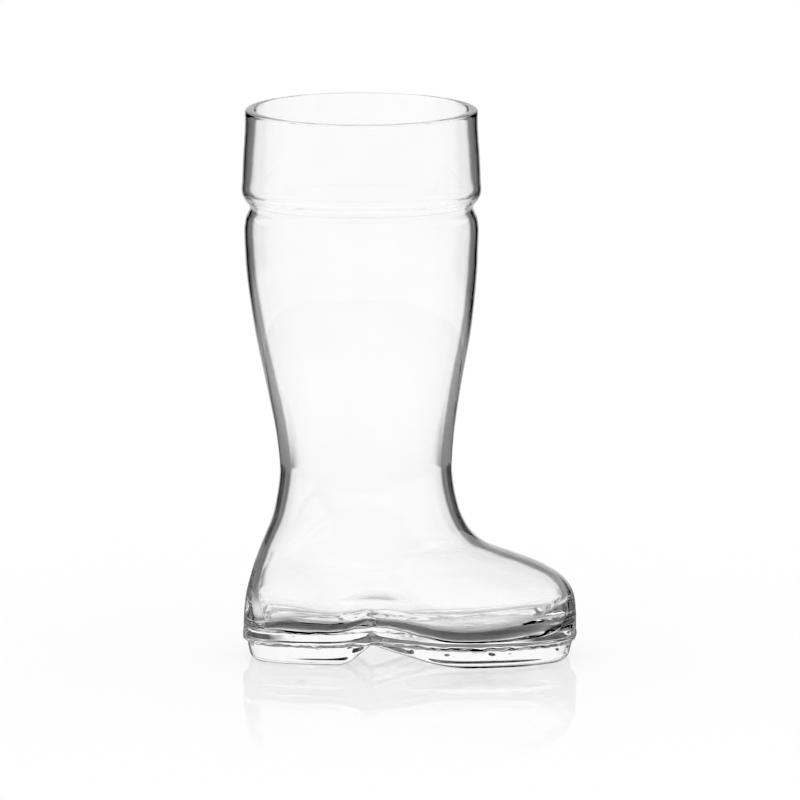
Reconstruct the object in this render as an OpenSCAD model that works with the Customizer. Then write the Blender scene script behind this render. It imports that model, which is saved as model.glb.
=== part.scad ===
// Boot-shaped drinking glass: a blown hollow upper on a solid heel and a solid sole.
// Lengths are in millimetres. The glass stands on z = 0 and its toe points along +X.

/* [Mouth and cuff] */
// Height of the lip above the table
height = 195; // [170:1:230]
// Width across the mouth, inside the lip
mouth_d = 75; // [66:0.5:86]
// Thickness of the glass at the lip
lip_t = 3.5; // [2.5:0.1:5]
// Radius of the worn edges of the ground lip
lip_edge_r = 0.7; // [0.3:0.1:1.1]
// How far the cuff swells beyond the outside of the lip
cuff_swell = 1.1; // [0.2:0.1:3]
// Height of the cuff, from the lip down to the middle of the groove
cuff_h = 35.2; // [26:0.1:44]
// Depth of the groove below the surface of the cuff
groove_depth = 2.7; // [1:0.1:4]
// Height of the groove, from the cuff's edge to the calf
groove_h = 10.6; // [7:0.1:16]

/* [Leg] */
// How far the surface of the calf lies inside that of the cuff
calf_step = 0.95; // [0:0.05:2.5]
// Height of the full calf, from the middle of the groove down to where it narrows
calf_h = 13.8; // [10:0.1:24]
// Width across the ankle where it is narrowest
ankle_d = 60.8; // [54:0.1:68]
// Height of the narrowest place above the table
ankle_z = 67; // [58:0.5:78]
// How far the ankle lies toward the toe from the middle of the mouth
ankle_lean = 1.6; // [0:0.1:4]

/* [Foot] */
// Length of the foot over the bead, from heel to toe
foot_l = 118; // [108:1:132]
// Distance from the middle of the mouth back to the heel's bead
heel_reach = 42; // [38:0.5:46]
// Width across the bead at the heel
heel_w = 51; // [46:0.5:58]
// Width across the bead at the ball of the foot
ball_w = 64; // [56:0.5:70]
// Height at which the instep turns toward the toe
instep_z = 40; // [36:0.5:46]
// Height at which the toe reaches furthest
toe_z = 16; // [14:0.5:19]
// Distance from the middle of the mouth forward to where the foot starts to widen
waist_x = 2; // [0:0.5:8]
// Distance from the middle of the mouth forward to the ball of the foot
ball_x = 40; // [34:0.5:46]

/* [Bead, heel and sole] */
// Height of the seam between the upper and the heel and sole
seam_z = 6.7; // [5:0.1:9]
// Height of the bead above the seam
bead_h = 3.3; // [2:0.1:4.5]
// How far the bead overhangs the heel and sole
bead_t = 1.5; // [0.6:0.1:2]
// How far the heel and sole narrow from the seam to the table
draft = 1.6; // [0.5:0.1:2.5]
// Radius of the lower edge of the heel and sole
sole_edge_r = 2.2; // [1:0.1:3.5]
// Distance from the middle of the mouth back to the front of the heel on the table
breast_x = 6.5; // [3:0.5:10]
// Distance from the middle of the mouth forward to where the sole touches the table
tread_x = 38; // [32:0.5:44]
// Distance from the middle of the mouth forward to the top of the arch
arch_x = 3.4; // [1:0.2:6]
// Length of bare seam between the heel and the sole at the top of the arch
arch_gap = 2.4; // [1:0.1:5]

/* [Walls and floor] */
// Thickness of the cuff above the groove
cuff_wall = 2.9; // [2:0.1:4]
// Thickness of the calf
calf_wall = 2.7; // [2:0.1:4]
// Thickness of the glass at the ankle
ankle_wall = 3.6; // [2.5:0.1:5]
// Thickness of the instep
instep_wall = 3.2; // [2.5:0.1:5]
// Thickness of the glass round the foot
foot_wall = 4; // [3:0.1:5.5]
// Height of the drinking space's floor at the ball of the foot
floor_z = 7.9; // [7.6:0.1:11]
// Rise of the floor from the ball to the heel
heel_rise = 2.3; // [1:0.1:4]
// Rise of the floor from the ball to the hump over the arch
hump_rise = 4; // [2:0.1:6]
// Rise of the floor from the ball to the toe
toe_rise = 1; // [0:0.1:3]
// Radius between the floor and the wall round it
floor_r = 13; // [8:0.5:14]

/* [Hidden] */

// Facets round each ring, and rings in each stretch between two stations
facets = 48;
stretch_rings = 2;
corner_steps = 4;
sole_steps = 6;
arch_steps = 12;
cap_shares = [0.24, 0.5, 0.76];

lip_r = mouth_d / 2 + lip_t;
cuff_r = lip_r + cuff_swell;
groove_r = cuff_r - groove_depth;
calf_r = cuff_r - calf_step;
ankle_r = ankle_d / 2;
groove_z = height - cuff_h;
calf_z = groove_z - calf_h;
toe_reach = foot_l - heel_reach;
wall_set = bead_t / 4;
heel_half = heel_w / 2 - wall_set;
ball_half = ball_w / 2 - wall_set;
back_reach = max(heel_reach, cuff_r);
middle_x = (back_reach - toe_reach) / 2;

// A station is [back height, front height, back reach, front reach, heel half width,
// ball half width, heel squareness, toe squareness], with both reaches measured from the
// middle of the mouth. A squareness of 2 is round.
round_square = 2;
heel_square = 3.6;
toe_square = 2.9;

// Cuff: height above the groove as a share of its upper part, and fullness from lip to cuff
cuff_shares = [[0.86, 0], [0.52, 0.64], [0.3, 0.94]];
// Groove: height as a share of half the groove, and depth as a share of the whole
upper_groove_shares = [[1, 0], [0.62, 0.34], [0.22, 0.92]];
lower_groove_shares = [[0, 1], [-0.22, 0.8], [-0.6, 0.24], [-1, 0]];
// Leg: height from ankle to calf, narrowing toward the ankle, lean toward the toe
leg_shares = [[1, 0, 0], [0.67, 0.23, 0.3], [0.35, 0.67, 0.55], [0.14, 0.92, 0.85], [0, 1, 1]];
// Upper foot: height from instep to ankle, back and front reach, heel and ball half width
ankle_shares = [[0.63, 0.08, 0.03, 0, 0.97], [0.37, 0.2, 0.08, 0.01, 0.94],
    [0.15, 0.38, 0.165, 0.03, 0.88]];
// Lower foot: height from toe to instep, back and front reach, half widths, squareness
foot_shares = [[1, 0.51, 0.285, 0.08, 0.79, 0], [0.854, 0.61, 0.5, 0.15, 0.75, 0.03],
    [0.69, 0.72, 0.73, 0.26, 0.83, 0.08], [0.5, 0.82, 0.893, 0.43, 0.94, 0.24],
    [0.28, 0.92, 0.975, 0.67, 1, 0.55], [0, 0.985, 1, 0.92, 1.01, 0.9]];
// Bead: height above the seam, and set-back from the bead's tip
bead_shares = [[0.75, 0.2], [0.52, 0.05], [0.28, 0], [0.12, 0.22], [0.03, 0.62], [0, 1]];
// Floor: reach of the hump's slopes behind and in front of the arch, and of the toe's rise
hump_back_share = 0.32;
hump_front_share = 0.95;
toe_rise_share = 0.7;
// How much of the floor's rise each lowered station of the wall takes
lift_shares = [0.08, 0.2, 0.45];
// Arch: straightness of the heel's front, where 1 is straight, and of the sole's rise
breast_share = 1.3;
shank_share = 1.55;

function mix(from, to, share) = from + (to - from) * share;
function within(value, low, high) = min(max(value, low), high);
function ease(share) = (1 - cos(180 * within(share, 0, 1))) / 2;
function last(list) = list[len(list) - 1];

function level(z, back, front, heel_side, ball_side, squareness) =
    [z, z, back, front, heel_side, ball_side,
        mix(round_square, heel_square, squareness), mix(round_square, toe_square, squareness)];
function round_level(z, r, lean = 0) = level(z, r - lean, r + lean, r, r, 0);

// Points of a station round the foot: a superellipse that is wider at the ball than at the heel
function wide_at(station, x) =
    mix(station[4], station[5], ease((x - waist_x) / (ball_x - waist_x)));
function station_point(station, angle, lift) = let (
    square = cos(angle) < 0 ? station[6] : station[7],
    bulge = pow(pow(abs(cos(angle)), square) + pow(abs(sin(angle)), square), -1 / square),
    half = (station[2] + station[3]) / 2,
    x = (station[3] - station[2]) / 2 + half * bulge * cos(angle),
    y = wide_at(station, x) * bulge * sin(angle),
    tilt = (x + station[2]) / (2 * half))
    [x + middle_x, y, mix(station[0], station[1], tilt) + lift * floor_rise(x)];
function ring(station, lift = 0) =
    [for (i = [0 : facets - 1]) station_point(station, 360 * i / facets, lift)];

// Rise of the drinking space's floor above its lowest place, along the foot
function floor_rise(x) =
    x < arch_x ? mix(heel_rise, hump_rise, ease(1 - (arch_x - x) / (hump_back_share * heel_reach)))
    : hump_rise * ease(1 - (x - arch_x) / (hump_front_share * (ball_x - arch_x)))
        + toe_rise * ease((x - ball_x) / (toe_rise_share * (toe_reach - ball_x)));

// A smooth curve through stations, with each tangent weighed by the stretches beside it
function stretch(stations, i) = norm(stations[i + 1] - stations[i]);
function slope(stations, i) = (stations[i + 1] - stations[i]) / stretch(stations, i);
function tangent(stations, i) =
    i == 0 ? slope(stations, 0)
    : i == len(stations) - 1 ? slope(stations, i - 1)
    : (slope(stations, i) * stretch(stations, i - 1) + slope(stations, i - 1) * stretch(stations, i))
        / (stretch(stations, i - 1) + stretch(stations, i));
function curve_point(stations, i, t) = let (
    d = stretch(stations, i),
    rise = t * t * (3 - 2 * t),
    leave = t * (1 - t) * (1 - t),
    arrive = t * t * (t - 1))
    mix(stations[i], stations[i + 1], rise)
        + d * (tangent(stations, i) * leave + tangent(stations, i + 1) * arrive);
function curve(stations, steps) = concat(
    [for (i = [0 : len(stations) - 2], k = [0 : steps - 1]) curve_point(stations, i, k / steps)],
    [last(stations)]);

// Outer stations, from the lip down to the top of the bead
cuff_stations = [for (s = cuff_shares)
    round_level(mix(groove_z, height, s[0]), mix(lip_r, cuff_r, s[1]))];
groove_stations = concat(
    [for (s = upper_groove_shares)
        round_level(groove_z + s[0] * groove_h / 2, mix(cuff_r, groove_r, s[1]))],
    [for (s = lower_groove_shares)
        round_level(groove_z + s[0] * groove_h / 2, mix(calf_r, groove_r, s[1]))]);
leg_stations = [for (s = leg_shares)
    round_level(mix(ankle_z, calf_z, s[0]), mix(calf_r, ankle_r, s[1]), ankle_lean * s[2])];
heel_wall_reach = heel_reach - wall_set;
toe_wall_reach = toe_reach - wall_set;
function foot_level(z, back, front, heel_side, ball_side, squareness) = level(z,
    mix(ankle_r - ankle_lean, heel_wall_reach, back),
    mix(ankle_r + ankle_lean, toe_wall_reach, front),
    mix(ankle_r, heel_half, heel_side), ball_half * ball_side, squareness);
foot_stations = concat(
    [for (s = ankle_shares)
        foot_level(mix(instep_z, ankle_z, s[0]), s[1], s[2], s[3], s[4], 0)],
    [for (s = foot_shares)
        foot_level(mix(toe_z, instep_z, s[0]), s[1], s[2], s[3], s[4], s[5])],
    [foot_level(seam_z + bead_h, 1, 1, 1, 1, 1)]);
lip_station = round_level(height - lip_edge_r, lip_r);
outer_stations = concat([lip_station], cuff_stations, groove_stations, leg_stations, foot_stations);

// Station at a set-back from the bead's outermost line
function bead_level(z, set_back) = level(z, heel_reach - set_back, toe_reach - set_back,
    heel_w / 2 - set_back, ball_w / 2 - set_back, 1);
bead_stations = [for (s = bead_shares) bead_level(seam_z + bead_h * s[0], bead_t * s[1])];

// Thickness of the wall at each outer station
walls = concat([lip_t], [for (s = cuff_shares) mix(lip_t, cuff_wall, 1 - s[0])],
    [for (s = upper_groove_shares) cuff_wall], [for (s = lower_groove_shares) calf_wall],
    [for (s = leg_shares) mix(calf_wall, ankle_wall, s[1])],
    [for (s = ankle_shares) mix(instep_wall, ankle_wall, s[0])],
    [for (s = foot_shares) mix(foot_wall, instep_wall, s[0])]);

// Inner stations: the outer ones moved square to the wall by its thickness, down to where
// the corner round the floor starts
function side_step(stations, i, zi, ri, wall) = let (
    t = tangent(stations, i),
    d = norm([t[zi], t[ri]]))
    [wall * t[ri] / d, wall * t[zi] / d];
function inner_station(i) = let (
    s = outer_stations[i],
    back = side_step(outer_stations, i, 0, 2, walls[i]),
    front = side_step(outer_stations, i, 1, 3, walls[i]))
    [s[0] - back[0], s[1] - front[0], s[2] + back[1], s[3] + front[1],
        s[4] - walls[i], s[5] - walls[i], s[6], s[7]];
inner_count = len(walls) - 1;
lip_inner = round_level(height - lip_edge_r, mouth_d / 2);
inner_stations = concat([lip_inner], [for (i = [1 : inner_count - 1]) inner_station(i)]);

// Rounded corner between the wall and the floor, as stations that draw in and level out
wall_foot = last(inner_stations);
function drawn_in(station, z, inset) = [z, z, station[2] - inset, station[3] - inset,
    station[4] - inset, station[5] - inset, station[6], station[7]];
corner_stations = [for (k = [1 : corner_steps]) let (a = 90 * k / corner_steps)
    drawn_in(wall_foot, floor_z + floor_r * (1 - sin(a)), floor_r * (1 - cos(a)))];
function floor_station(share) = let (edge = last(corner_stations), off = (edge[3] - edge[2]) / 2)
    [floor_z, floor_z, edge[2] * share - off * (1 - share), edge[3] * share + off * (1 - share),
        edge[4] * share, edge[5] * share, edge[6], edge[7]];

// Rings from the middle of the floor, up the inside, over the lip and down the outside
inner_rings = curve(inner_stations, stretch_rings);
inner_n = len(inner_rings);
lift_n = len(lift_shares);
function lift_of(i) = let (k = (i - (inner_n - 1)) / stretch_rings + lift_n - 1)
    k <= -1 ? 0 : k < 0 ? lift_shares[0] * (1 + k)
    : mix(lift_shares[floor(k)], lift_shares[ceil(k)], k - floor(k));
lip_stations = [round_level(height, mouth_d / 2 + lip_edge_r), round_level(height, lip_r - lip_edge_r)];
upper_rings = concat(
    [for (s = cap_shares) ring(floor_station(s), 1)],
    [for (i = [corner_steps - 1 : -1 : 0])
        ring(corner_stations[i], mix(last(lift_shares), 1, (i + 1) / corner_steps))],
    [for (i = [inner_n - 1 : -1 : 0]) ring(inner_rings[i], lift_of(i))],
    [for (s = lip_stations) ring(s)],
    [for (s = curve(outer_stations, stretch_rings)) ring(s)],
    [for (s = bead_stations) ring(s)]);

// Rings of the heel and sole, from the seam down to the table
sole_rings = concat(
    [ring(bead_level(seam_z, bead_t))],
    [for (k = [0 : sole_steps]) let (a = 90 * k / sole_steps, z = sole_edge_r * (1 - sin(a)))
        ring(bead_level(z, bead_t + draft * (1 - z / seam_z) + sole_edge_r * (1 - cos(a))))]);

// A closed skin over rings: both ends are flat or gently curved caps
module skin(rings) {
    n = len(rings[0]);
    end = len(rings) - 1;
    points = [for (r = rings) each r];
    polyhedron(points, concat(
        [[for (i = [n - 1 : -1 : 0]) i]],
        [for (k = [0 : end - 1], i = [0 : n - 1]) let (j = (i + 1) % n)
            i < n / 2 ? [k * n + i, (k + 1) * n + j, (k + 1) * n + i]
            : [k * n + i, k * n + j, (k + 1) * n + i]],
        [for (k = [0 : end - 1], i = [0 : n - 1]) let (j = (i + 1) % n)
            i < n / 2 ? [k * n + i, k * n + j, (k + 1) * n + j]
            : [k * n + j, (k + 1) * n + j, (k + 1) * n + i]],
        [[for (i = [0 : n - 1]) end * n + i]]));
}

// Side outline across the glass, drawn as [distance from the middle of the mouth, height]
module across(outline) {
    translate([middle_x, ball_w, 0])
        rotate([90, 0, 0])
            linear_extrude(2 * ball_w)
                polygon(outline);
}

// Underside of the arch: the heel's front and the sole's long rise, up to the seam
breast_top_x = arch_x - arch_gap / 2;
shank_top_x = arch_x + arch_gap / 2;
breast_line = [for (k = [0 : arch_steps]) let (s = k / arch_steps)
    [mix(-breast_x, breast_top_x, s), seam_z * pow(s, breast_share)]];
shank_line = [for (k = [0 : arch_steps]) let (s = k / arch_steps)
    [mix(tread_x, shank_top_x, s), seam_z * pow(s, shank_share)]];

module boot_upper() {
    color("aliceblue", 0.4)
        skin(upper_rings);
}

module heel() {
    color("lightsteelblue", 0.7)
        intersection() {
            skin(sole_rings);
            across(concat([[-foot_l, seam_z], [-foot_l, 0]], breast_line));
        }
}

module sole() {
    color("lightblue", 0.7)
        intersection() {
            skin(sole_rings);
            across(concat([[foot_l, seam_z], [foot_l, 0]], shank_line));
        }
}

boot_upper();
heel();
sole();
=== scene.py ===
"""Boot-shaped drinking glass: a blown hollow upper on a solid heel and a solid sole.

Sizes are in millimetres and are turned into metres when a mesh is made. The glass stands on
z = 0, its toe points along +X, and the camera looks along +Y at the photograph's angle.
"""

import logging
import math
from dataclasses import dataclass
from enum import Enum

import bpy
import numpy as np
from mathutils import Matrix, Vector


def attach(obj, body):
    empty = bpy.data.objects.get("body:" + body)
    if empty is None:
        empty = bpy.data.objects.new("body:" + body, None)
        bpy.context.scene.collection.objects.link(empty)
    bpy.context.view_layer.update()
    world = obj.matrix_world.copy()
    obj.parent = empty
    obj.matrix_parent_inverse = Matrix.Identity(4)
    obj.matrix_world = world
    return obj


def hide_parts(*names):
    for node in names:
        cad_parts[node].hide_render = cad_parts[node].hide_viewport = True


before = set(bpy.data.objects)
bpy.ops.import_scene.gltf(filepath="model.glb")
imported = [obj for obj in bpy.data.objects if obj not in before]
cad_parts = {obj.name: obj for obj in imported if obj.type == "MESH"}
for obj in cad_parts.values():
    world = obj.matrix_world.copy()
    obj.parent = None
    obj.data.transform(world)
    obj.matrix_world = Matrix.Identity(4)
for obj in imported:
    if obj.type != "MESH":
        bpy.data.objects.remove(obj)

LOG = logging.getLogger("boot_glass")
METRE = 0.001
ROUND, HEEL_SQUARE, TOE_SQUARE = 2.0, 3.6, 2.9
BODY = "root"
TINY = 1e-6
POLE_GAP = 0.4
Number = float | np.ndarray


class Slot(Enum):
    """The record's material slots."""

    BLOWN = "blown_glass"
    PRESSED = "pressed_glass"


class Rays(Enum):
    """Kinds of ray that a backdrop answers to, by their Light Path sockets."""

    CAMERA = "Is Camera Ray"
    GLOSSY = "Is Glossy Ray"
    THROUGH = "Is Transmission Ray"


class Count(Enum):
    """Counts of what a ray has met on its way, by their Light Path sockets."""

    STEPS = "Ray Depth"
    PAPER = "Diffuse Depth"
    GLINTS = "Glossy Depth"
    WALLS = "Transmission Depth"


# Curves and stations


def mix(start: Number, end: Number, share: Number) -> Number:
    """Value that lies the given share of the way from start to end."""
    return start + (end - start) * share


def ease(share: np.ndarray) -> np.ndarray:
    """Half a cosine wave that rises from 0 to 1 while share goes from 0 to 1."""
    return (1 - np.cos(np.pi * np.clip(share, 0, 1))) / 2


def outward(points: np.ndarray, x: float) -> np.ndarray:
    """Level directions, of length 1, from the upright line through x to each point."""
    away = points[..., :2] - np.array([x, 0.0])
    return away / np.maximum(np.linalg.norm(away, axis=-1, keepdims=True), TINY)


def pole_shares(rings: int) -> np.ndarray:
    """Even shares of a flat's reach for the rings between its pole and its edge."""
    return (np.arange(rings) + POLE_GAP) / rings


def smooth_curve(stations: np.ndarray, steps: int) -> np.ndarray:
    """Runs a smooth curve through stations.

    Each stretch is a cubic Hermite curve whose end tangents are the slopes of the two
    neighbouring stretches, each weighed by the other stretch's length.

    Args:
        stations: One row of values for each station.
        steps: Rows made for each stretch.

    Returns:
        The rows along the curve, from the first station to the last.
    """
    chord = np.linalg.norm(np.diff(stations, axis=0), axis=1)
    slopes = np.diff(stations, axis=0) / chord[:, None]
    inner = slopes[1:] * chord[:-1, None] + slopes[:-1] * chord[1:, None]
    inner = inner / (chord[:-1] + chord[1:])[:, None]
    tangents = np.concatenate([slopes[:1], inner, slopes[-1:]])
    t = np.tile(np.arange(steps) / steps, len(chord))[:, None]
    i = np.repeat(np.arange(len(chord)), steps)
    rise = t * t * (3 - 2 * t)
    bend = tangents[i] * t * (1 - t) ** 2 + tangents[i + 1] * t * t * (t - 1)
    rows = mix(stations[i], stations[i + 1], rise) + chord[i][:, None] * bend
    return np.concatenate([rows, stations[-1:]])


def level(z: float, back: float, front: float, heel: float, ball: float, square: float) -> list[float]:
    """One level station.

    Args:
        z: Height.
        back: Reach from the middle of the glass toward the back of the heel.
        front: Reach toward the toe.
        heel: Half the width at the heel.
        ball: Half the width at the ball.
        square: Share of the way from round to the squareness of the foot.

    Returns:
        Eight values: the height at the back and at the front, the two reaches, the two half
        widths, and the powers of the outline at the heel and at the toe.
    """
    powers = [mix(ROUND, HEEL_SQUARE, square), mix(ROUND, TOE_SQUARE, square)]
    return [z, z, back, front, heel, ball, *powers]


def round_level(z: float, radius: float, lean: float = 0.0) -> list[float]:
    """One round level station whose middle leans toward the toe."""
    return level(z, radius - lean, radius + lean, radius, radius, 0)


def shrunk(station: np.ndarray, shares: np.ndarray) -> np.ndarray:
    """Stations of a flat that shrink from one station toward its middle.

    Each reach and half width is the station's times the share, and the point halfway
    between the back and the front stays where it is.

    Args:
        station: The eight values of the edge.
        shares: Share of the edge's size for each new station.

    Returns:
        One row of eight values for each share.
    """
    rows = np.tile(station, (len(shares), 1))
    off = (rows[:, 3] - rows[:, 2]) / 2
    rows[:, 2:6] *= shares[:, None]
    rows[:, 2] -= off * (1 - shares)
    rows[:, 3] += off * (1 - shares)
    return rows


@dataclass(frozen=True)
class Ripples:
    """Seeded sum of sine waves: the slow unevenness that blown and pressed glass keeps."""

    seed: int
    waves: int
    shortest: float
    longest: float

    def along(self, distance: np.ndarray) -> np.ndarray:
        """Sum of sines of one variable, scaled to lie within about -1 and 1.

        Args:
            distance: Lengths in the unit of shortest and longest.

        Returns:
            The height of the ripples at each distance.
        """
        rng = np.random.default_rng(self.seed)
        length = self.shortest * (self.longest / self.shortest) ** rng.random(self.waves)
        phase = rng.random(self.waves) * 2 * np.pi
        total = np.sin(2 * np.pi * distance[..., None] / length + phase).sum(-1)
        return total / math.sqrt(2 * self.waves)

    def over(self, points: np.ndarray) -> np.ndarray:
        """Sum of plane sine waves in seeded directions through space.

        Args:
            points: Positions in an array of any shape whose last axis is x, y and z.

        Returns:
            The height of the ripples at each position.
        """
        rng = np.random.default_rng(self.seed)
        ways = rng.normal(size=(self.waves, 3))
        ways /= np.linalg.norm(ways, axis=1)[:, None]
        length = self.shortest * (self.longest / self.shortest) ** rng.random(self.waves)
        phase = rng.random(self.waves) * 2 * np.pi
        angle = points @ (2 * np.pi * ways / length[:, None]).T + phase
        return np.sin(angle).sum(-1) / math.sqrt(2 * self.waves)


# Meshes


def mesh_object(name: str, points: np.ndarray, faces: list[np.ndarray],
                slots: list[int]) -> bpy.types.Object:
    """Puts points and faces into a new smooth-shaded object at the origin.

    Args:
        name: Name of the piece.
        points: Vertex positions in millimetres.
        faces: Arrays of vertex indices, one row for each face.
        slots: Material slot of each array of faces.

    Returns:
        The object, linked to the scene.
    """
    mesh = bpy.data.meshes.new(name)
    loops = np.concatenate([f.reshape(-1) for f in faces])
    totals = np.concatenate([np.full(len(f), f.shape[1]) for f in faces])
    mesh.vertices.add(len(points))
    mesh.vertices.foreach_set("co", (points * METRE).astype(np.float32).reshape(-1))
    mesh.loops.add(len(loops))
    mesh.loops.foreach_set("vertex_index", loops.astype(np.int32))
    mesh.polygons.add(len(totals))
    mesh.polygons.foreach_set("loop_start", (np.cumsum(totals) - totals).astype(np.int32))
    mesh.polygons.foreach_set("material_index", np.concatenate(
        [np.full(len(f), s) for f, s in zip(faces, slots)]).astype(np.int32))
    mesh.polygons.foreach_set("use_smooth", np.ones(len(totals), bool))
    mesh.update(calc_edges=True)
    mesh.validate()
    piece = bpy.data.objects.new(name, mesh)
    bpy.context.scene.collection.objects.link(piece)
    return piece


@dataclass
class Skin:
    """Closed surface over rings of points, with a pole at each end."""

    rings: np.ndarray

    def points(self) -> np.ndarray:
        """All ring points in order, then the middle of the first ring and of the last."""
        poles = self.rings[[0, -1]].mean(axis=1)
        return np.concatenate([self.rings.reshape(-1, 3), poles])

    def bands(self, first: int, last: int) -> np.ndarray:
        """Four-sided faces between neighbouring rings, facing outward.

        Args:
            first: Index of the ring that the bands start at.
            last: Index of the ring that they end at.

        Returns:
            One row of four vertex indices for each face.
        """
        n = self.rings.shape[1]
        k, i = np.meshgrid(np.arange(first, last), np.arange(n), indexing="ij")
        j = (i + 1) % n
        corners = [k * n + i, k * n + j, (k + 1) * n + j, (k + 1) * n + i]
        return np.stack(corners, -1).reshape(-1, 4)[:, ::-1]

    def fans(self) -> tuple[np.ndarray, np.ndarray]:
        """Triangles that close the first ring and the last ring at their poles.

        Returns:
            The first ring's triangles and the last ring's, as rows of three vertex indices.
        """
        m, n = self.rings.shape[:2]
        i = np.arange(n)
        j = (i + 1) % n
        start = np.stack([np.full(n, m * n), j, i], -1)
        end = np.stack([np.full(n, m * n + 1), (m - 1) * n + i, (m - 1) * n + j], -1)
        return start[:, ::-1], end[:, ::-1]


# Shader maths


class Wire:
    """An output socket that takes part in Python arithmetic."""

    def __init__(self, desk: "Desk", source: bpy.types.NodeSocket | None) -> None:
        """Keeps the desk that makes nodes and the socket; an output node has none."""
        self.desk, self.source = desk, source

    def _math(self, operation: str, *values: "Wire | float") -> "Wire":
        """One Math node over the values."""
        return self.desk.node("ShaderNodeMath", {"operation": operation}, dict(enumerate(values)))

    def __add__(self, other: "Wire | float") -> "Wire":
        """Sum."""
        return self._math("ADD", self, other)

    def __sub__(self, other: "Wire | float") -> "Wire":
        """Difference."""
        return self._math("SUBTRACT", self, other)

    def __rsub__(self, other: float) -> "Wire":
        """Difference from a number."""
        return self._math("SUBTRACT", other, self)

    def __mul__(self, other: "Wire | float") -> "Wire":
        """Product."""
        return self._math("MULTIPLY", self, other)

    __radd__ = __add__
    __rmul__ = __mul__

    def cos(self) -> "Wire":
        """Cosine of an angle in radians."""
        return self._math("COSINE", self)

    def bearing(self, other: "Wire") -> "Wire":
        """Angle of the direction whose parts are self and other."""
        return self._math("ARCTAN2", self, other)

    def size(self) -> "Wire":
        """Size of the value without its sign."""
        return self._math("ABSOLUTE", self)

    def under(self, other: "Wire | float") -> "Wire":
        """1 where the value is less than the other, else 0."""
        return self._math("LESS_THAN", self, other)

    def at_most(self, count: int) -> "Wire":
        """1 where a count isn't more than the given one, else 0."""
        return self.under(count + 0.5)

    def more_than(self, count: int) -> "Wire":
        """1 where a count is more than the given one, else 0."""
        return 1 - self.at_most(count)

    def toward(self, other: "Wire | float", share: "Wire") -> "Wire":
        """The value where the share is 0, the other where it is 1, and a mix between."""
        return self * (1 - share) + share * other

    def either(self, other: "Wire | float") -> "Wire":
        """The greater of the two."""
        return self._math("MAXIMUM", self, other)

    def rise(self, low: float, high: float, start: float = 0.0, end: float = 1.0) -> "Wire":
        """Smooth step from start to end while the value goes from low to high."""
        return self.desk.node("ShaderNodeMapRange", {"interpolation_type": "SMOOTHSTEP"}, {
            "Value": self, "From Min": low, "From Max": high, "To Min": start, "To Max": end})


class Desk:
    """Makes and links the nodes of one material or world."""

    def __init__(self, owner: bpy.types.Material | bpy.types.World) -> None:
        """Takes the owner's node tree and empties it.

        Args:
            owner: The material or world whose nodes are made here.
        """
        owner.use_nodes = True
        self.tree = owner.node_tree
        self.tree.nodes.clear()

    def node(self, kind: str, settings: dict[str, object] | None = None,
             inputs: dict[str | int, object] | None = None, out: str | int = 0) -> Wire:
        """Makes one node.

        Args:
            kind: Blender's name for the type of node.
            settings: Properties that are set first; "stops" holds a ramp's stops.
            inputs: Values or wires for its sockets, by name or number.
            out: The output socket that is handed back.

        Returns:
            The wire from that output.
        """
        made = self.tree.nodes.new(kind)
        for key, value in (settings or {}).items():
            if key == "stops":
                self._stops(made.color_ramp, value)
            else:
                setattr(made, key, value)
        for key, value in (inputs or {}).items():
            source = value.source if isinstance(value, Wire) else value
            if isinstance(source, bpy.types.NodeSocket):
                self.tree.links.new(source, made.inputs[key])
            else:
                made.inputs[key].default_value = source
        return Wire(self, made.outputs[out] if len(made.outputs) else None)

    @staticmethod
    def _stops(ramp: bpy.types.ColorRamp, stops: list[tuple[float, tuple[float, ...]]]) -> None:
        """Gives a ramp its stops.

        Args:
            ramp: The ramp, of whose old stops only the first is used again.
            stops: The place and the colour of each stop.
        """
        while len(ramp.elements) > 1:
            ramp.elements.remove(ramp.elements[-1])
        for number, (place, colour) in enumerate(stops):
            stop = ramp.elements[0] if number == 0 else ramp.elements.new(place)
            stop.position, stop.color = place, colour

    def ray(self, *kinds: Rays) -> Wire:
        """Tells the given kinds of ray from the others.

        Args:
            kinds: One kind or more.

        Returns:
            1 for rays of any of the kinds, else 0.
        """
        wires = [self.node("ShaderNodeLightPath", out=k.value) for k in kinds]
        total = wires[0]
        for wire in wires[1:]:
            total = total.either(wire)
        return total

    def count(self, kind: Count) -> Wire:
        """How many times the ray has met something of the kind."""
        return self.node("ShaderNodeLightPath", out=kind.value)

    def bent(self) -> Wire:
        """1 for what the camera sees through or in the glass, not for the table's own light."""
        return self.ray(Rays.GLOSSY, Rays.THROUGH) * self.count(Count.PAPER).at_most(0)


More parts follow.
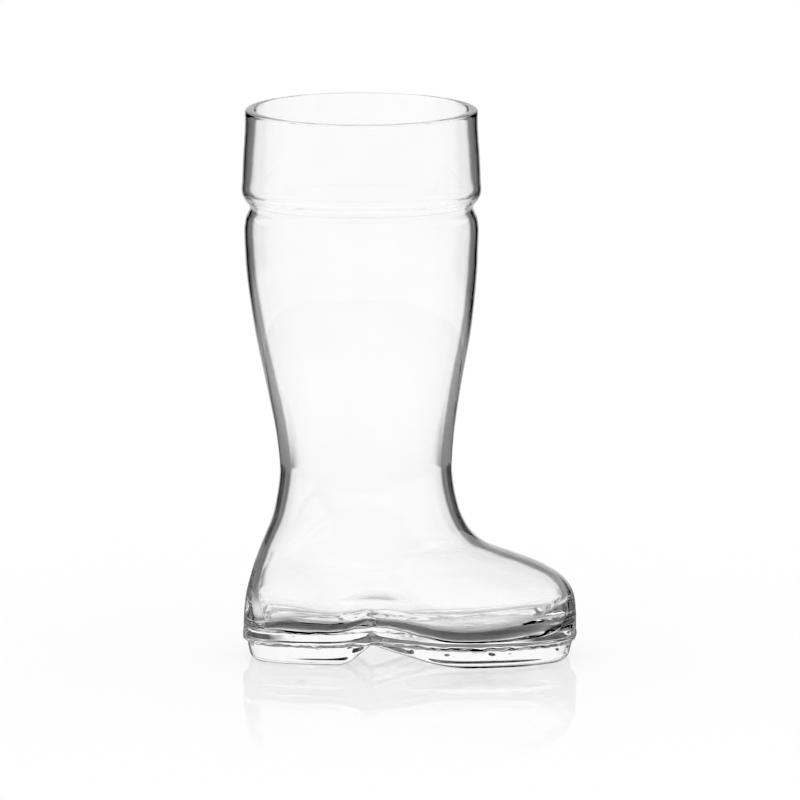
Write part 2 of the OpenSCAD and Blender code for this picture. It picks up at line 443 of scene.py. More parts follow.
@dataclass(frozen=True)
class Surroundings:
    """White studio panels with dark gaps between them, seen by light that the glass turns.

    A panel stands on each of the four sides, and those behind the glass and in front of it
    are wider. Narrow panels between them fill the higher and lower rows, and every row on
    the camera's side. The gaps are softer and faintly streaked below the horizon and for
    light that has just been mirrored.
    """

    wide: float = 16.0
    wide_count: int = 2
    side: float = 13.0
    side_count: int = 4
    narrow: float = 9.5
    narrow_count: int = 8
    border: float = 7.0
    dark: float = 0.02
    soft: float = 0.17
    low_soft: float = 0.22
    streaks: float = 24.0
    streak_depth: float = 0.7
    low_start: float = -0.02
    low_end: float = 0.06
    row: float = 0.3
    row_border: float = 0.04
    ceiling: float = 0.95
    ceiling_start: float = 0.55
    ceiling_end: float = 0.8

    def ring(self, turn: Wire, panels: int, half: float) -> Wire:
        """Whiteness of evenly spaced panels: a smooth step on the cosine of panels * turn."""
        edges = [math.cos(math.radians(panels * (half + s * self.border))) for s in (1, -1)]
        return (turn * float(panels)).cos().rise(edges[0], edges[1])

    def seen(self, desk: Desk, x: Wire, y: Wire, z: Wire) -> Wire:
        """Brightness of the surroundings in a direction.

        Args:
            desk: The world's desk.
            x: Part of the direction toward the toe.
            y: Part away from the camera.
            z: Part upward.

        Returns:
            The white of the panels, the dark of the gaps or the shade of the ceiling.
        """
        turn, height = x.bearing(y), z.size()
        row = height.rise(self.row - self.row_border, self.row + self.row_border).either(y.under(0.0))
        ahead = self.ring(turn, self.wide_count, self.wide)
        ahead = ahead.either(self.ring(turn, self.side_count, self.side))
        white = ahead.either(self.ring(turn, self.narrow_count, self.narrow) * row)
        streaks = (turn * self.streaks).cos() * self.streak_depth + 1.0
        low = z.rise(self.low_start, self.low_end, 1.0, 0.0)
        lit = low.either(desk.ray(Rays.GLOSSY) * self.low_soft)
        gap = lit * (self.soft - self.dark) * streaks + self.dark
        high = height.rise(self.ceiling_start, self.ceiling_end)
        return white.toward(1.0, gap).toward(self.ceiling, high)


@dataclass(frozen=True)
class Glass:
    """Clear soda-lime glass with slow ripples, faint handling marks and painted edge shade."""

    name: str
    tint: tuple[float, float, float] = (0.995, 0.995, 0.995)
    tint_low: tuple[float, float, float] = (0.98, 0.981, 0.981)
    # Painted edge shade: the grey that the base colour of upright faces turns to where they are seen at a
    # grazing angle.
    edge: tuple[float, float, float] = (0.14, 0.142, 0.145)
    painted_edge_shade_start: float = 0.75
    painted_edge_shade_end: float = 0.9
    upright: tuple[float, float] = (0.5, 0.9)
    ior: float = 1.5
    smudge_scale: float = 38.0
    tint_range: tuple[float, float] = (0.35, 0.6)
    smudge_range: tuple[float, float] = (0.55, 0.75)
    gloss: float = 0.0
    smudge: float = 0.012
    ripple_scale: float = 90.0
    ripple: float = 0.05
    ripple_depth: float = 0.0004
    alpha: float = 1.0

    def material(self) -> bpy.types.Material:
        """Builds the material.

        Returns:
            A glass whose tint, gloss and ripples vary with the place on the piece, and whose
            tint darkens to a painted grey shade where upright faces are seen at a grazing angle.
        """
        made = bpy.data.materials.new(self.name)
        desk = Desk(made)
        place = desk.node("ShaderNodeTexCoord", out="Object")
        cloud = desk.node("ShaderNodeTexNoise", None, {
            "Vector": place, "Scale": self.smudge_scale, "Detail": 3.0, "Roughness": 0.55})
        low, high = self.tint_range
        tint = desk.node("ShaderNodeValToRGB", {"stops": [
            (low, (*self.tint_low, 1.0)), (high, (*self.tint, 1.0))]}, {"Fac": cloud})
        rim = desk.node("ShaderNodeLayerWeight", None, {"Blend": 0.5}, out="Facing")
        lie = desk.node("ShaderNodeSeparateXYZ", None, {
            "Vector": desk.node("ShaderNodeTexCoord", out="Normal")}, out=2).size()
        # Painted shade: the base colour darkens toward the edge grey where an upright face is seen at a
        # grazing angle.
        dark = rim.rise(self.painted_edge_shade_start, self.painted_edge_shade_end) * lie.rise(*self.upright, 1.0, 0.0)
        tint = desk.node("ShaderNodeMix", {"data_type": "RGBA"}, {
            0: dark, 6: tint, 7: (*self.edge, 1.0)}, out=2)
        marks = cloud.rise(*self.smudge_range, self.gloss, self.gloss + self.smudge)
        waves = desk.node("ShaderNodeTexNoise", None, {
            "Vector": place, "Scale": self.ripple_scale, "Detail": 1.0, "Roughness": 0.4})
        normal = desk.node("ShaderNodeBump", None, {
            "Strength": self.ripple, "Distance": self.ripple_depth, "Height": waves})
        shader = desk.node("ShaderNodeBsdfPrincipled", None, {
            "Base Color": tint, "Roughness": marks, "Normal": normal, "IOR": self.ior,
            "Transmission Weight": 1.0, "Alpha": self.alpha})
        desk.node("ShaderNodeOutputMaterial", None, {"Surface": shader})
        return made


# The boot


@dataclass
class Boot:
    """Sizes shared by the upper, the heel and the sole, in millimetres."""

    height: float = 195.0
    mouth_d: float = 75.0
    lip_t: float = 3.5
    lip_edge_r: float = 0.7
    cuff_swell: float = 1.1
    cuff_h: float = 35.2
    groove_depth: float = 2.7
    groove_h: float = 10.6
    calf_step: float = 0.95
    calf_h: float = 13.8
    ankle_d: float = 60.8
    ankle_z: float = 67.0
    ankle_lean: float = 1.6
    foot_l: float = 118.0
    heel_reach: float = 42.0
    heel_w: float = 51.0
    ball_w: float = 64.0
    instep_z: float = 40.0
    toe_z: float = 16.0
    waist_x: float = 2.0
    ball_x: float = 40.0
    seam_z: float = 6.7
    bead_h: float = 3.3
    bead_t: float = 1.5
    draft: float = 1.6
    sole_edge_r: float = 2.2
    arch_x: float = 3.4
    segments: int = 288
    arch_lift: float = 1.1
    arch_lift_back: float = 17.0
    arch_lift_front: float = 30.0
    lift_top: float = 13.0
    ragged_drop: float = 0.3
    ragged_out: float = 0.25
    ragged_half: float = 1.5

    PARTING_DROP = Ripples(31, 40, 2.6, 22.0)
    PARTING_INSET = Ripples(37, 36, 2.4, 16.0)

    def __post_init__(self) -> None:
        """Works out the radii, reaches and heights that follow from the sizes."""
        self.lip_r = self.mouth_d / 2 + self.lip_t
        self.cuff_r = self.lip_r + self.cuff_swell
        self.groove_r = self.cuff_r - self.groove_depth
        self.calf_r = self.cuff_r - self.calf_step
        self.ankle_r = self.ankle_d / 2
        self.groove_z = self.height - self.cuff_h
        self.calf_z = self.groove_z - self.calf_h
        self.toe_reach = self.foot_l - self.heel_reach
        self.wall_set = self.bead_t / 4
        self.middle_x = (max(self.heel_reach, self.cuff_r) - self.toe_reach) / 2

    def outline(self, stations: np.ndarray, angles: np.ndarray,
                lift: np.ndarray | None = None) -> np.ndarray:
        """Points round the foot at each station.

        Each ring is a superellipse: the point at an angle lies at bulge * cos along the
        foot and at width * bulge * sin across it, where bulge is the sum of the powered
        cosine and sine to the power of minus one over the squareness. The width eases
        from the heel's to the ball's, and the height tilts from the back's to the front's.

        Args:
            stations: One row of eight values for each ring.
            angles: Angle of each point, counted from the toe toward the far side.
            lift: Share of the floor's rise that each ring takes; none is taken without it.

        Returns:
            Positions by ring and angle, in millimetres.
        """
        s = stations[:, :, None]
        c, n = np.cos(angles)[None], np.sin(angles)[None]
        square = np.where(c < 0, s[:, 6], s[:, 7])
        bulge = (np.abs(c) ** square + np.abs(n) ** square) ** (-1 / square)
        half = (s[:, 2] + s[:, 3]) / 2
        x = (s[:, 3] - s[:, 2]) / 2 + half * bulge * c
        wide = mix(s[:, 4], s[:, 5], ease((x - self.waist_x) / (self.ball_x - self.waist_x)))
        z = mix(s[:, 0], s[:, 1], (x + s[:, 2]) / (2 * half))
        if lift is not None:
            z = z + lift[:, None] * self.floor_rise(x)
        return np.stack([x + self.middle_x, wide * bulge * n, z], -1)

    def floor_rise(self, x: np.ndarray) -> np.ndarray:
        """Rise of the drinking space's floor; the level one has none."""
        return np.zeros_like(x)

    def ring_angles(self) -> np.ndarray:
        """Even angles round a ring."""
        return np.arange(self.segments) * 2 * np.pi / self.segments

    def bead_level(self, z: float, set_back: float) -> list[float]:
        """Station at a set-back from the bead's outermost line."""
        return level(z, self.heel_reach - set_back, self.toe_reach - set_back,
                     self.heel_w / 2 - set_back, self.ball_w / 2 - set_back, 1)

    def arched(self, points: np.ndarray) -> np.ndarray:
        """Lifts the seam a little over the arch and makes it wander as a mould's parting does.

        Args:
            points: Positions in millimetres.

        Returns:
            The positions, each raised by the lift times a bell along the foot and a ramp
            that is full at the seam and nothing on the table or above the bead, then moved
            up or down and inward by ripples that fade with the height from the seam.
        """
        x, z = points[..., 0] - self.middle_x - self.arch_x, points[..., 2]
        along = np.where(x < 0, ease(1 + x / self.arch_lift_back), ease(1 - x / self.arch_lift_front))
        tall = np.where(z < self.seam_z, ease(z / self.seam_z),
                        ease((self.lift_top - z) / (self.lift_top - self.seam_z)))
        near = np.exp(-((z - self.seam_z) / self.ragged_half) ** 2)
        drop, inset = self.PARTING_DROP.over(points), self.PARTING_INSET.over(points)
        depth = self.ragged_out * (1 + np.clip(inset, -1, 1)) * near
        raised = points.copy()
        raised[..., 2] += self.arch_lift * along * tall + self.ragged_drop * drop * near
        raised[..., :2] -= outward(points, self.middle_x + self.arch_x) * depth[..., None]
        return raised


@dataclass
class Upper(Boot):
    """The blown hollow upper: lip, cuff, groove, leg, foot and the bead round its bottom."""

    cuff_wall: float = 2.9
    calf_wall: float = 2.7
    ankle_wall: float = 3.6
    instep_wall: float = 3.2
    foot_wall: float = 4.0
    floor_z: float = 7.5
    heel_rise: float = 2.5
    hump_rise: float = 5.2
    toe_rise: float = 1.0
    floor_r: float = 13.0
    outer_steps: int = 5
    inner_steps: int = 4
    corner_steps: int = 14
    bead_steps: int = 4
    cap_rings: int = 22
    lip_steps: int = 5
    wave_depth: float = 0.05
    wave_start: float = 12.0
    wave_end: float = 8.0
    still_lip: float = 4.0
    rim_depth: float = 0.035
    swirl: float = 0.5
    swirl_half: float = 17.0
    crest: float = 3.2
    crest_y: float = 2.0
    crest_half: float = 26.0
    far_tight: float = 2.2
    far_half: float = 12.0
    heel_tight: float = 18.0
    flash_depth: float = 0.34
    flash_drop: float = 0.3
    flash_at: float = 0.2
    flash_half: float = 0.2
    flash_start: float = 0.03
    lip_round: float = 1.5
    lip_fall: float = 0.9

    CUFF = ((0.86, 0), (0.52, 0.64), (0.3, 0.94))
    UPPER_GROOVE = ((1, 0), (0.62, 0.34), (0.22, 0.92))
    LOWER_GROOVE = ((0, 1), (-0.22, 0.8), (-0.6, 0.24), (-1, 0))
    LEG = ((1, 0, 0), (0.67, 0.23, 0.3), (0.35, 0.67, 0.55), (0.14, 0.92, 0.85), (0, 1, 1))
    ANKLE = ((0.63, 0.08, 0.03, 0, 0.97), (0.37, 0.2, 0.08, 0.01, 0.94), (0.15, 0.38, 0.165, 0.03, 0.88))
    FOOT = ((1, 0.51, 0.285, 0.08, 0.79, 0), (0.854, 0.61, 0.5, 0.15, 0.75, 0.03),
            (0.69, 0.72, 0.73, 0.26, 0.83, 0.08), (0.5, 0.82, 0.893, 0.43, 0.94, 0.24),
            (0.28, 0.92, 0.975, 0.67, 1, 0.55), (0, 0.985, 1, 0.92, 1.01, 0.9))
    BEAD = ((0.75, 0.2), (0.52, 0.05), (0.28, 0), (0.12, 0.22), (0.03, 0.62), (0, 1))
    LIFTS = (0, 0.08, 0.2, 0.45)
    HUMP_BACK, HUMP_FRONT, TOE_RISE = 0.32, 0.95, 0.7
    FLOW = Ripples(41, 24, 5.5, 20.0)
    GRINDING = Ripples(5, 26, 2.4, 20.0)
    FLASH = Ripples(11, 30, 1.6, 16.0)
    DRIP = Ripples(23, 24, 2.2, 24.0)
    BREATH = Ripples(3, 18, 22.0, 70.0)

    def floor_rise(self, x: np.ndarray) -> np.ndarray:
        """Rise of the floor: to the heel, over the hump above the arch and to the toe.

        Args:
            x: Places along the foot, counted from the middle of the glass.

        Returns:
            Half cosine waves that run from the heel's rise up to the hump's, down to nothing
            at the ball and up to the toe's.
        """
        back = ease(1 - (self.arch_x - x) / (self.HUMP_BACK * self.heel_reach))
        front = ease(1 - (x - self.arch_x) / (self.HUMP_FRONT * (self.ball_x - self.arch_x)))
        toe = ease((x - self.ball_x) / (self.TOE_RISE * (self.toe_reach - self.ball_x)))
        return np.where(x < self.arch_x, mix(self.heel_rise, self.hump_rise, back),
                        self.hump_rise * front + self.toe_rise * toe)

    def foot_level(self, z: float, back: float, front: float, heel: float, ball: float,
                   square: float) -> list[float]:
        """Station of the foot.

        Args:
            z: Height.
            back: Share of the way from the ankle's reach to the bead's at the back.
            front: The same at the toe.
            heel: The same for half the width at the heel.
            ball: Share of the bead's half width at the ball.
            square: Share of the way from round to the squareness of the foot.

        Returns:
            The eight values of the station.
        """
        return level(z, mix(self.ankle_r - self.ankle_lean, self.heel_reach - self.wall_set, back),
                     mix(self.ankle_r + self.ankle_lean, self.toe_reach - self.wall_set, front),
                     mix(self.ankle_r, self.heel_w / 2 - self.wall_set, heel),
                     (self.ball_w / 2 - self.wall_set) * ball, square)

    def outer_stations(self) -> tuple[np.ndarray, np.ndarray]:
        """Stations of the outside and the wall at each.

        Returns:
            The stations from the lip to the top of the bead, and the thickness of the wall
            at all of them but the last.
        """
        rows = [(round_level(self.height - self.lip_edge_r, self.lip_r), self.lip_t)]
        rows += [(round_level(mix(self.groove_z, self.height, z), mix(self.lip_r, self.cuff_r, r)),
                  mix(self.lip_t, self.cuff_wall, 1 - z)) for z, r in self.CUFF]
        half = self.groove_h / 2
        for shares, radius, wall in ((self.UPPER_GROOVE, self.cuff_r, self.cuff_wall),
                                     (self.LOWER_GROOVE, self.calf_r, self.calf_wall)):
            rows += [(round_level(self.groove_z + z * half, mix(radius, self.groove_r, d)), wall)
                     for z, d in shares]
        rows += [(round_level(mix(self.ankle_z, self.calf_z, z), mix(self.calf_r, self.ankle_r, r),
                              self.ankle_lean * lean), mix(self.calf_wall, self.ankle_wall, r))
                 for z, r, lean in self.LEG]
        rows += [(self.foot_level(mix(self.instep_z, self.ankle_z, s[0]), *s[1:], 0),
                  mix(self.instep_wall, self.ankle_wall, s[0])) for s in self.ANKLE]
        rows += [(self.foot_level(mix(self.toe_z, self.instep_z, s[0]), *s[1:]),
                  mix(self.foot_wall, self.instep_wall, s[0])) for s in self.FOOT]
        top = self.foot_level(self.seam_z + self.bead_h, 1, 1, 1, 1, 1)
        return np.array([r[0] for r in rows] + [top]), np.array([r[1] for r in rows])

    def inner_stations(self) -> np.ndarray:
        """Stations of the inside: the outer ones moved square to the wall by its thickness.

        Returns:
            The stations from the lip down to where the floor's corner starts.
        """
        outer, walls = self.outer_stations()
        chord = np.linalg.norm(np.diff(outer, axis=0), axis=1)
        slopes = np.diff(outer, axis=0) / chord[:, None]
        tangent = slopes[1:] * chord[:-1, None] + slopes[:-1] * chord[1:, None]
        inner = outer[1:-1].copy()
        for height, reach in ((0, 2), (1, 3)):
            size = np.hypot(tangent[:, height], tangent[:, reach])
            inner[:, height] -= walls[1:] * tangent[:, reach] / size
            inner[:, reach] += walls[1:] * tangent[:, height] / size
        inner[:, 4:6] -= walls[1:, None]
        lip = round_level(self.height - self.lip_edge_r, self.mouth_d / 2)
        return np.concatenate([[lip], inner[:-1]])

    def inside(self, angles: np.ndarray) -> np.ndarray:
        """Rings from the middle of the floor up the inside to the lip.

        The wall runs down a smooth curve and turns into the floor by a quarter circle. The
        floor takes the rise of floor_rise and, over the arch, a cosine crest along the
        middle and flow marks, both within a bell curve along the foot. At the far side and
        the heel the corner's height is its share of the circle, raised to a power.

        Args:
            angles: Angle of each point round a ring.

        Returns:
            Positions by ring and angle.
        """
        rings = smooth_curve(self.inner_stations(), self.inner_steps)
        count = len(rings)
        last = (count - 1) / self.inner_steps
        places = last - np.arange(len(self.LIFTS))[::-1]
        lifts = np.interp(np.arange(count) / self.inner_steps, places, self.LIFTS)
        way = np.arange(1, self.corner_steps + 1) / self.corner_steps
        turn = np.pi / 2 * way
        corner = np.tile(rings[-1], (self.corner_steps, 1))
        corner[:, 0:2] = (self.floor_z + self.floor_r * (1 - np.sin(turn)))[:, None]
        corner[:, 2:6] -= (self.floor_r * (1 - np.cos(turn)))[:, None]
        flat = shrunk(corner[-1], pole_shares(self.cap_rings)[::-1])
        stations = np.concatenate([rings, corner, flat])[::-1]
        lift = np.concatenate([lifts, mix(self.LIFTS[-1], 1, way), np.ones(self.cap_rings)])[::-1]
        points = self.outline(stations, angles, lift)
        near = np.exp(-((points[..., 0] - self.middle_x - self.arch_x) / self.swirl_half) ** 2)
        crest = self.crest * ease(1 - np.abs(points[..., 1] - self.crest_y) / self.crest_half)
        marks = self.swirl * self.FLOW.over(points) + crest
        points[..., 2] += marks * near * ease(lift)[:, None]
        curl = np.concatenate([np.zeros(count), 1 - np.sin(turn), np.zeros(self.cap_rings)])[::-1]
        tight = self.floor_r * (curl ** self.far_tight - curl)
        heel = self.middle_x - self.heel_reach + self.heel_tight - points[..., 0]
        points[..., 2] += tight[:, None] * ease(np.maximum(points[..., 1], heel) / self.far_half)
        return points

    def lip(self, angles: np.ndarray) -> np.ndarray:
        """Rings over the lip: a quarter round inside, a flat and a quarter oval outside.

        Args:
            angles: Angle of each point round a ring.

        Returns:
            Positions by ring and angle, lowered a little by the ripples of the grinding.
        """
        turn = np.pi / 2 * np.arange(1, self.lip_steps + 1) / (self.lip_steps + 1)
        bore, edge, fall = self.mouth_d / 2, self.lip_edge_r, self.lip_fall
        low, far = self.height - edge, self.lip_r - self.lip_round
        stations = [round_level(low + edge * math.sin(a), bore + edge * (1 - math.cos(a))) for a in turn]
        stations += [round_level(self.height, mix(bore + edge, far, s)) for s in (0, 0.5, 1)]
        stations += [round_level(self.height - fall * (1 - math.sin(a)), far + self.lip_round * math.cos(a))
                     for a in turn[::-1]]
        rings = self.outline(np.array(stations), angles)
        ground = 1 + np.clip(self.GRINDING.along(angles * self.lip_r), -1, 1)
        rings[..., 2] -= self.rim_depth * ground[None]
        return rings

    def bead(self, angles: np.ndarray) -> np.ndarray:
        """Rings of the bead, with the ragged flash that the mould leaves along it.

        Args:
            angles: Angle of each point round a ring.

        Returns:
            Positions by ring and angle: a smooth curve through the bead's stations, moved in
            and down by ripples that a bell curve keeps near the flash.
        """
        stations = [self.foot_level(self.seam_z + self.bead_h, 1, 1, 1, 1, 1)]
        stations += [self.bead_level(self.seam_z + self.bead_h * z, self.bead_t * s) for z, s in self.BEAD]
        rings = self.outline(smooth_curve(np.array(stations), self.bead_steps), angles)[1:]
        along = np.concatenate([[0], np.cumsum(np.linalg.norm(np.diff(rings[0], axis=0), axis=1))])
        share = np.clip((rings[..., 2] - self.seam_z) / self.bead_h, 0, 1)
        near = np.exp(-((share - self.flash_at) / self.flash_half) ** 2)
        near *= np.clip(share / self.flash_start, 0, 1)
        depth = self.flash_depth * (1 + np.clip(self.FLASH.along(along), -1, 1)) * near
        out = outward(rings, self.middle_x + (self.toe_reach - self.heel_reach) / 2)
        rings[..., :2] -= out * depth[..., None]
        rings[..., 2] += self.flash_drop * self.DRIP.along(along)[None] * near
        return rings

    def underside(self, angles: np.ndarray) -> np.ndarray:
        """Rings of the bottom, which shrink from the seam to the middle."""
        seam = np.array(self.bead_level(self.seam_z, self.bead_t))
        return self.outline(shrunk(seam, pole_shares(self.cap_rings)[::-1]), angles)

    def build(self) -> bpy.types.Object:
        """Makes the upper.

        Returns:
            The piece, with the fused joint in its second material slot.
        """
        angles = self.ring_angles()
        outer, _ = self.outer_stations()
        parts = [self.inside(angles), self.lip(angles),
                 self.outline(smooth_curve(outer, self.outer_steps)[1:], angles),
                 self.bead(angles), self.underside(angles)]
        seam = sum(len(part) for part in parts[:-1]) - 1
        rings = self.arched(np.concatenate(parts))
        free = ease((rings[..., 2] - self.lift_top) / self.wave_start)
        free *= ease((self.height - self.still_lip - rings[..., 2]) / self.wave_end)
        depth = self.wave_depth * (1 + self.BREATH.over(rings)) * free
        rings[..., :2] -= outward(rings, self.middle_x) * depth[..., None]
        skin = Skin(rings)
        start, end = skin.fans()
        faces = [start, skin.bands(0, seam), skin.bands(seam, len(rings) - 1), end]
        return mesh_object("upper_glass", skin.points(), faces, [0, 0, 1, 1])


@dataclass
class TreadBlock(Boot):
    """A solid block under the upper, cut off at the arch: the heel or the sole."""

    name: str = ""
    hub: float = 0.0
    arch_side: float = 1.0
    foot_x: float = 0.0
    power: float = 1.0
    arch_round: float = 0.0
    fine_steps: int = 1440
    edge_steps: int = 10
    side_steps: int = 16
    cap_rings: int = 20
    corner: float = 18.0
    top_corner: float = 70.0
    least_turn: float = 1e-3
    sway_depth: float = 0.06

    SWAY = Ripples(17, 14, 9.0, 40.0)

    def levels(self) -> tuple[np.ndarray, np.ndarray, np.ndarray]:
        """Levels of the rings: even steps down the side and a quarter circle at the foot.

        Returns:
            Their heights, their set-back from the bead, and the share of the rounding.
        """
        turn = np.pi / 2 * np.arange(1, self.edge_steps + 1) / self.edge_steps
        side = np.linspace(self.seam_z, self.sole_edge_r, self.side_steps)
        z = np.concatenate([side, self.sole_edge_r * (1 - np.sin(turn))])
        curl = np.concatenate([np.zeros(self.side_steps), 1 - np.cos(turn)])
        return z, self.bead_t + self.draft * (1 - z / self.seam_z) + self.sole_edge_r * curl, curl

    def rings(self, angles: np.ndarray) -> np.ndarray:
        """Rings from the seam down to the table.

        A point lies on the line from the hub at its angle. One over a power of its distance
        is the sum of one over the same powers of the distances to the block's side and to
        the arch, which rounds the upright corners between them. The arch leans by a power
        of the height.

        Args:
            angles: Angle of each point round the hub.

        Returns:
            Positions by ring and angle.
        """
        z, back, curl = self.levels()
        fine = np.linspace(0, 2 * np.pi, self.fine_steps, endpoint=False)
        stations = np.array([self.bead_level(h, b) for h, b in zip(z, back)])
        edge = self.outline(stations, fine)
        dx, dy = edge[..., 0] - self.middle_x - self.hub, edge[..., 1]
        bearing, reach = np.arctan2(dy, dx), np.hypot(dx, dy)
        wrapped = (angles + np.pi) % (2 * np.pi) - np.pi
        wall = np.stack([np.interp(wrapped, b[o], r[o], period=2 * np.pi)
                         for b, r, o in zip(bearing, reach, np.argsort(bearing, axis=1))])
        line = mix(self.foot_x, self.arch_x, (z / self.seam_z) ** (1 / self.power))
        line = line - self.arch_side * self.arch_round * curl
        toward = self.arch_side * np.cos(angles)
        arch = np.abs(line - self.hub)[:, None] / np.maximum(toward, self.least_turn)[None]
        sharp = mix(self.corner, self.top_corner, ease(z / self.seam_z * 2 - 1))[:, None]
        reach = wall * (1 + (wall / arch) ** sharp) ** (-1 / sharp)
        x = self.hub + self.middle_x + reach * np.cos(angles)
        return np.stack([x, reach * np.sin(angles), np.broadcast_to(z[:, None], x.shape)], -1)

    def cap(self, ring: np.ndarray) -> np.ndarray:
        """Rings that shrink from a block's edge to its hub, the innermost first.

        Args:
            ring: The edge.

        Returns:
            Positions by ring and angle, level with the edge.
        """
        share = pole_shares(self.cap_rings)[:, None, None]
        hub = np.array([self.hub + self.middle_x, 0, 0])
        flat = np.concatenate([ring[..., :2], np.zeros_like(ring[..., 2:])], -1)
        rings = hub + (flat - hub) * share
        rings[..., 2] = ring[None, ..., 2]
        return rings

    def seeds(self) -> tuple[np.ndarray, np.ndarray]:
        """Points and faces of the seeds of air in the block; a plain block has none."""
        return np.zeros((0, 3)), np.zeros((0, 3), int)

    def build(self) -> bpy.types.Object:
        """Makes the block.

        Returns:
            The piece, with the fused joint in its second material slot.
        """
        sides = self.rings(self.ring_angles())
        rings = self.arched(np.concatenate([self.cap(sides[0]), sides, self.cap(sides[-1])[::-1]]))
        hold = np.sin(np.pi * np.clip(rings[..., 2] / self.seam_z, 0, 1))
        depth = self.sway_depth * (1 + self.SWAY.over(rings)) * hold
        rings[..., :2] -= outward(rings, self.hub + self.middle_x) * depth[..., None]
        skin = Skin(rings)
        start, end = skin.fans()
        points, joint = skin.points(), self.cap_rings
        bubbles, faces = self.seeds()
        faces = faces + len(points)
        return mesh_object(self.name, np.concatenate([points, bubbles]),
                           [start, skin.bands(0, joint), skin.bands(joint, len(rings) - 1), end, faces],
                           [1, 1, 0, 0, 0])


@dataclass
class Heel(TreadBlock):
    """The heel, behind the arch."""

    name: str = "heel_glass"
    hub: float = -20.0
    foot_x: float = -6.5
    power: float = 1.3
    arch_round: float = 1.2


@dataclass
class Sole(TreadBlock):
    """The sole, in front of the arch, with a few seeds of air in it."""

    name: str = "sole_glass"
    hub: float = 44.0
    arch_side: float = -1.0
    foot_x: float = 38.0
    power: float = 1.55
    seed_sides: int = 14
    seed_steps: int = 8

    SEEDS = ((32.6, -24.0, 4.4, 0.17), (32.6, -24.0, 2.5, 0.15), (47.0, -20.0, 3.2, 0.12),
             (58.0, -12.0, 3.9, 0.1), (22.0, 9.0, 4.2, 0.11))

    def seeds(self) -> tuple[np.ndarray, np.ndarray]:
        """Small round voids, whose faces look into them: a ball at each seed's place.

        Returns:
            Their points, and their faces as rows of three.
        """
        u = np.arange(self.seed_sides) * 2 * np.pi / self.seed_sides
        v = np.pi * np.arange(1, self.seed_steps) / self.seed_steps
        skin = Skin(np.stack([np.outer(np.sin(v), np.cos(u)), np.outer(np.sin(v), np.sin(u)),
                              np.outer(np.cos(v), np.ones(self.seed_sides))], -1))
        quads = skin.bands(0, self.seed_steps - 2)
        faces = np.concatenate([quads[:, [0, 1, 2]], quads[:, [0, 2, 3]], *skin.fans()])[:, ::-1]
        points = skin.points()
        spots = np.array(self.SEEDS)
        places = spots[:, :3] + [self.middle_x, 0, 0]
        all_points = points[None] * spots[:, 3][:, None, None] + places[:, None]
        all_faces = faces[None] + (np.arange(len(spots)) * len(points))[:, None, None]
        return all_points.reshape(-1, 3), all_faces.reshape(-1, 3)


# The studio


